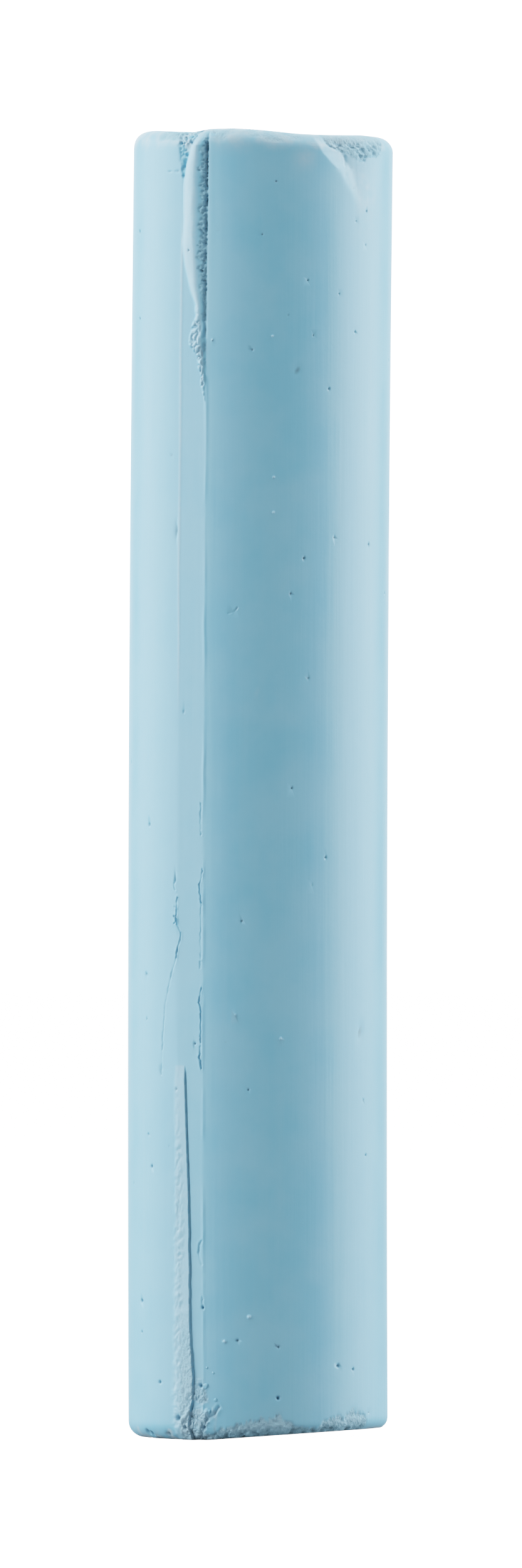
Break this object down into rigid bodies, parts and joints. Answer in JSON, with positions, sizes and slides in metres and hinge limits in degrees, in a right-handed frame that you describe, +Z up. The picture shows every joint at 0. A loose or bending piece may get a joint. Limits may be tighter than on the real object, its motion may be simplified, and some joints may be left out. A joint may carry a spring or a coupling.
{
  "type": "chalk stick",
  "caption": "Round stick of light blue moulded chalk with a flat seam land, two fins of flash, rounded rims and a slightly worn foot.",
  "frame": {"origin": "middle of the foot on the surface that the stick stands on, below the middle of its box", "axes": "+Z up along the stick; -Y is the front, where the seam's land is seen; +X is to the right of it"},
  "size_m": [0.02, 0.02, 0.1006],
  "materials": {
    "blue_chalk": "dyed plaster, smooth from the mould, with a slight sheen, small air holes and rough broken places",
    "chalk_crumb": "broken grains of the same dyed plaster, dull and rough"
  },
  "bodies": {
    "root": {"chalk_stick": "blue_chalk", "clinging_crumbs": "chalk_crumb"}
  },
  "joints": []
}
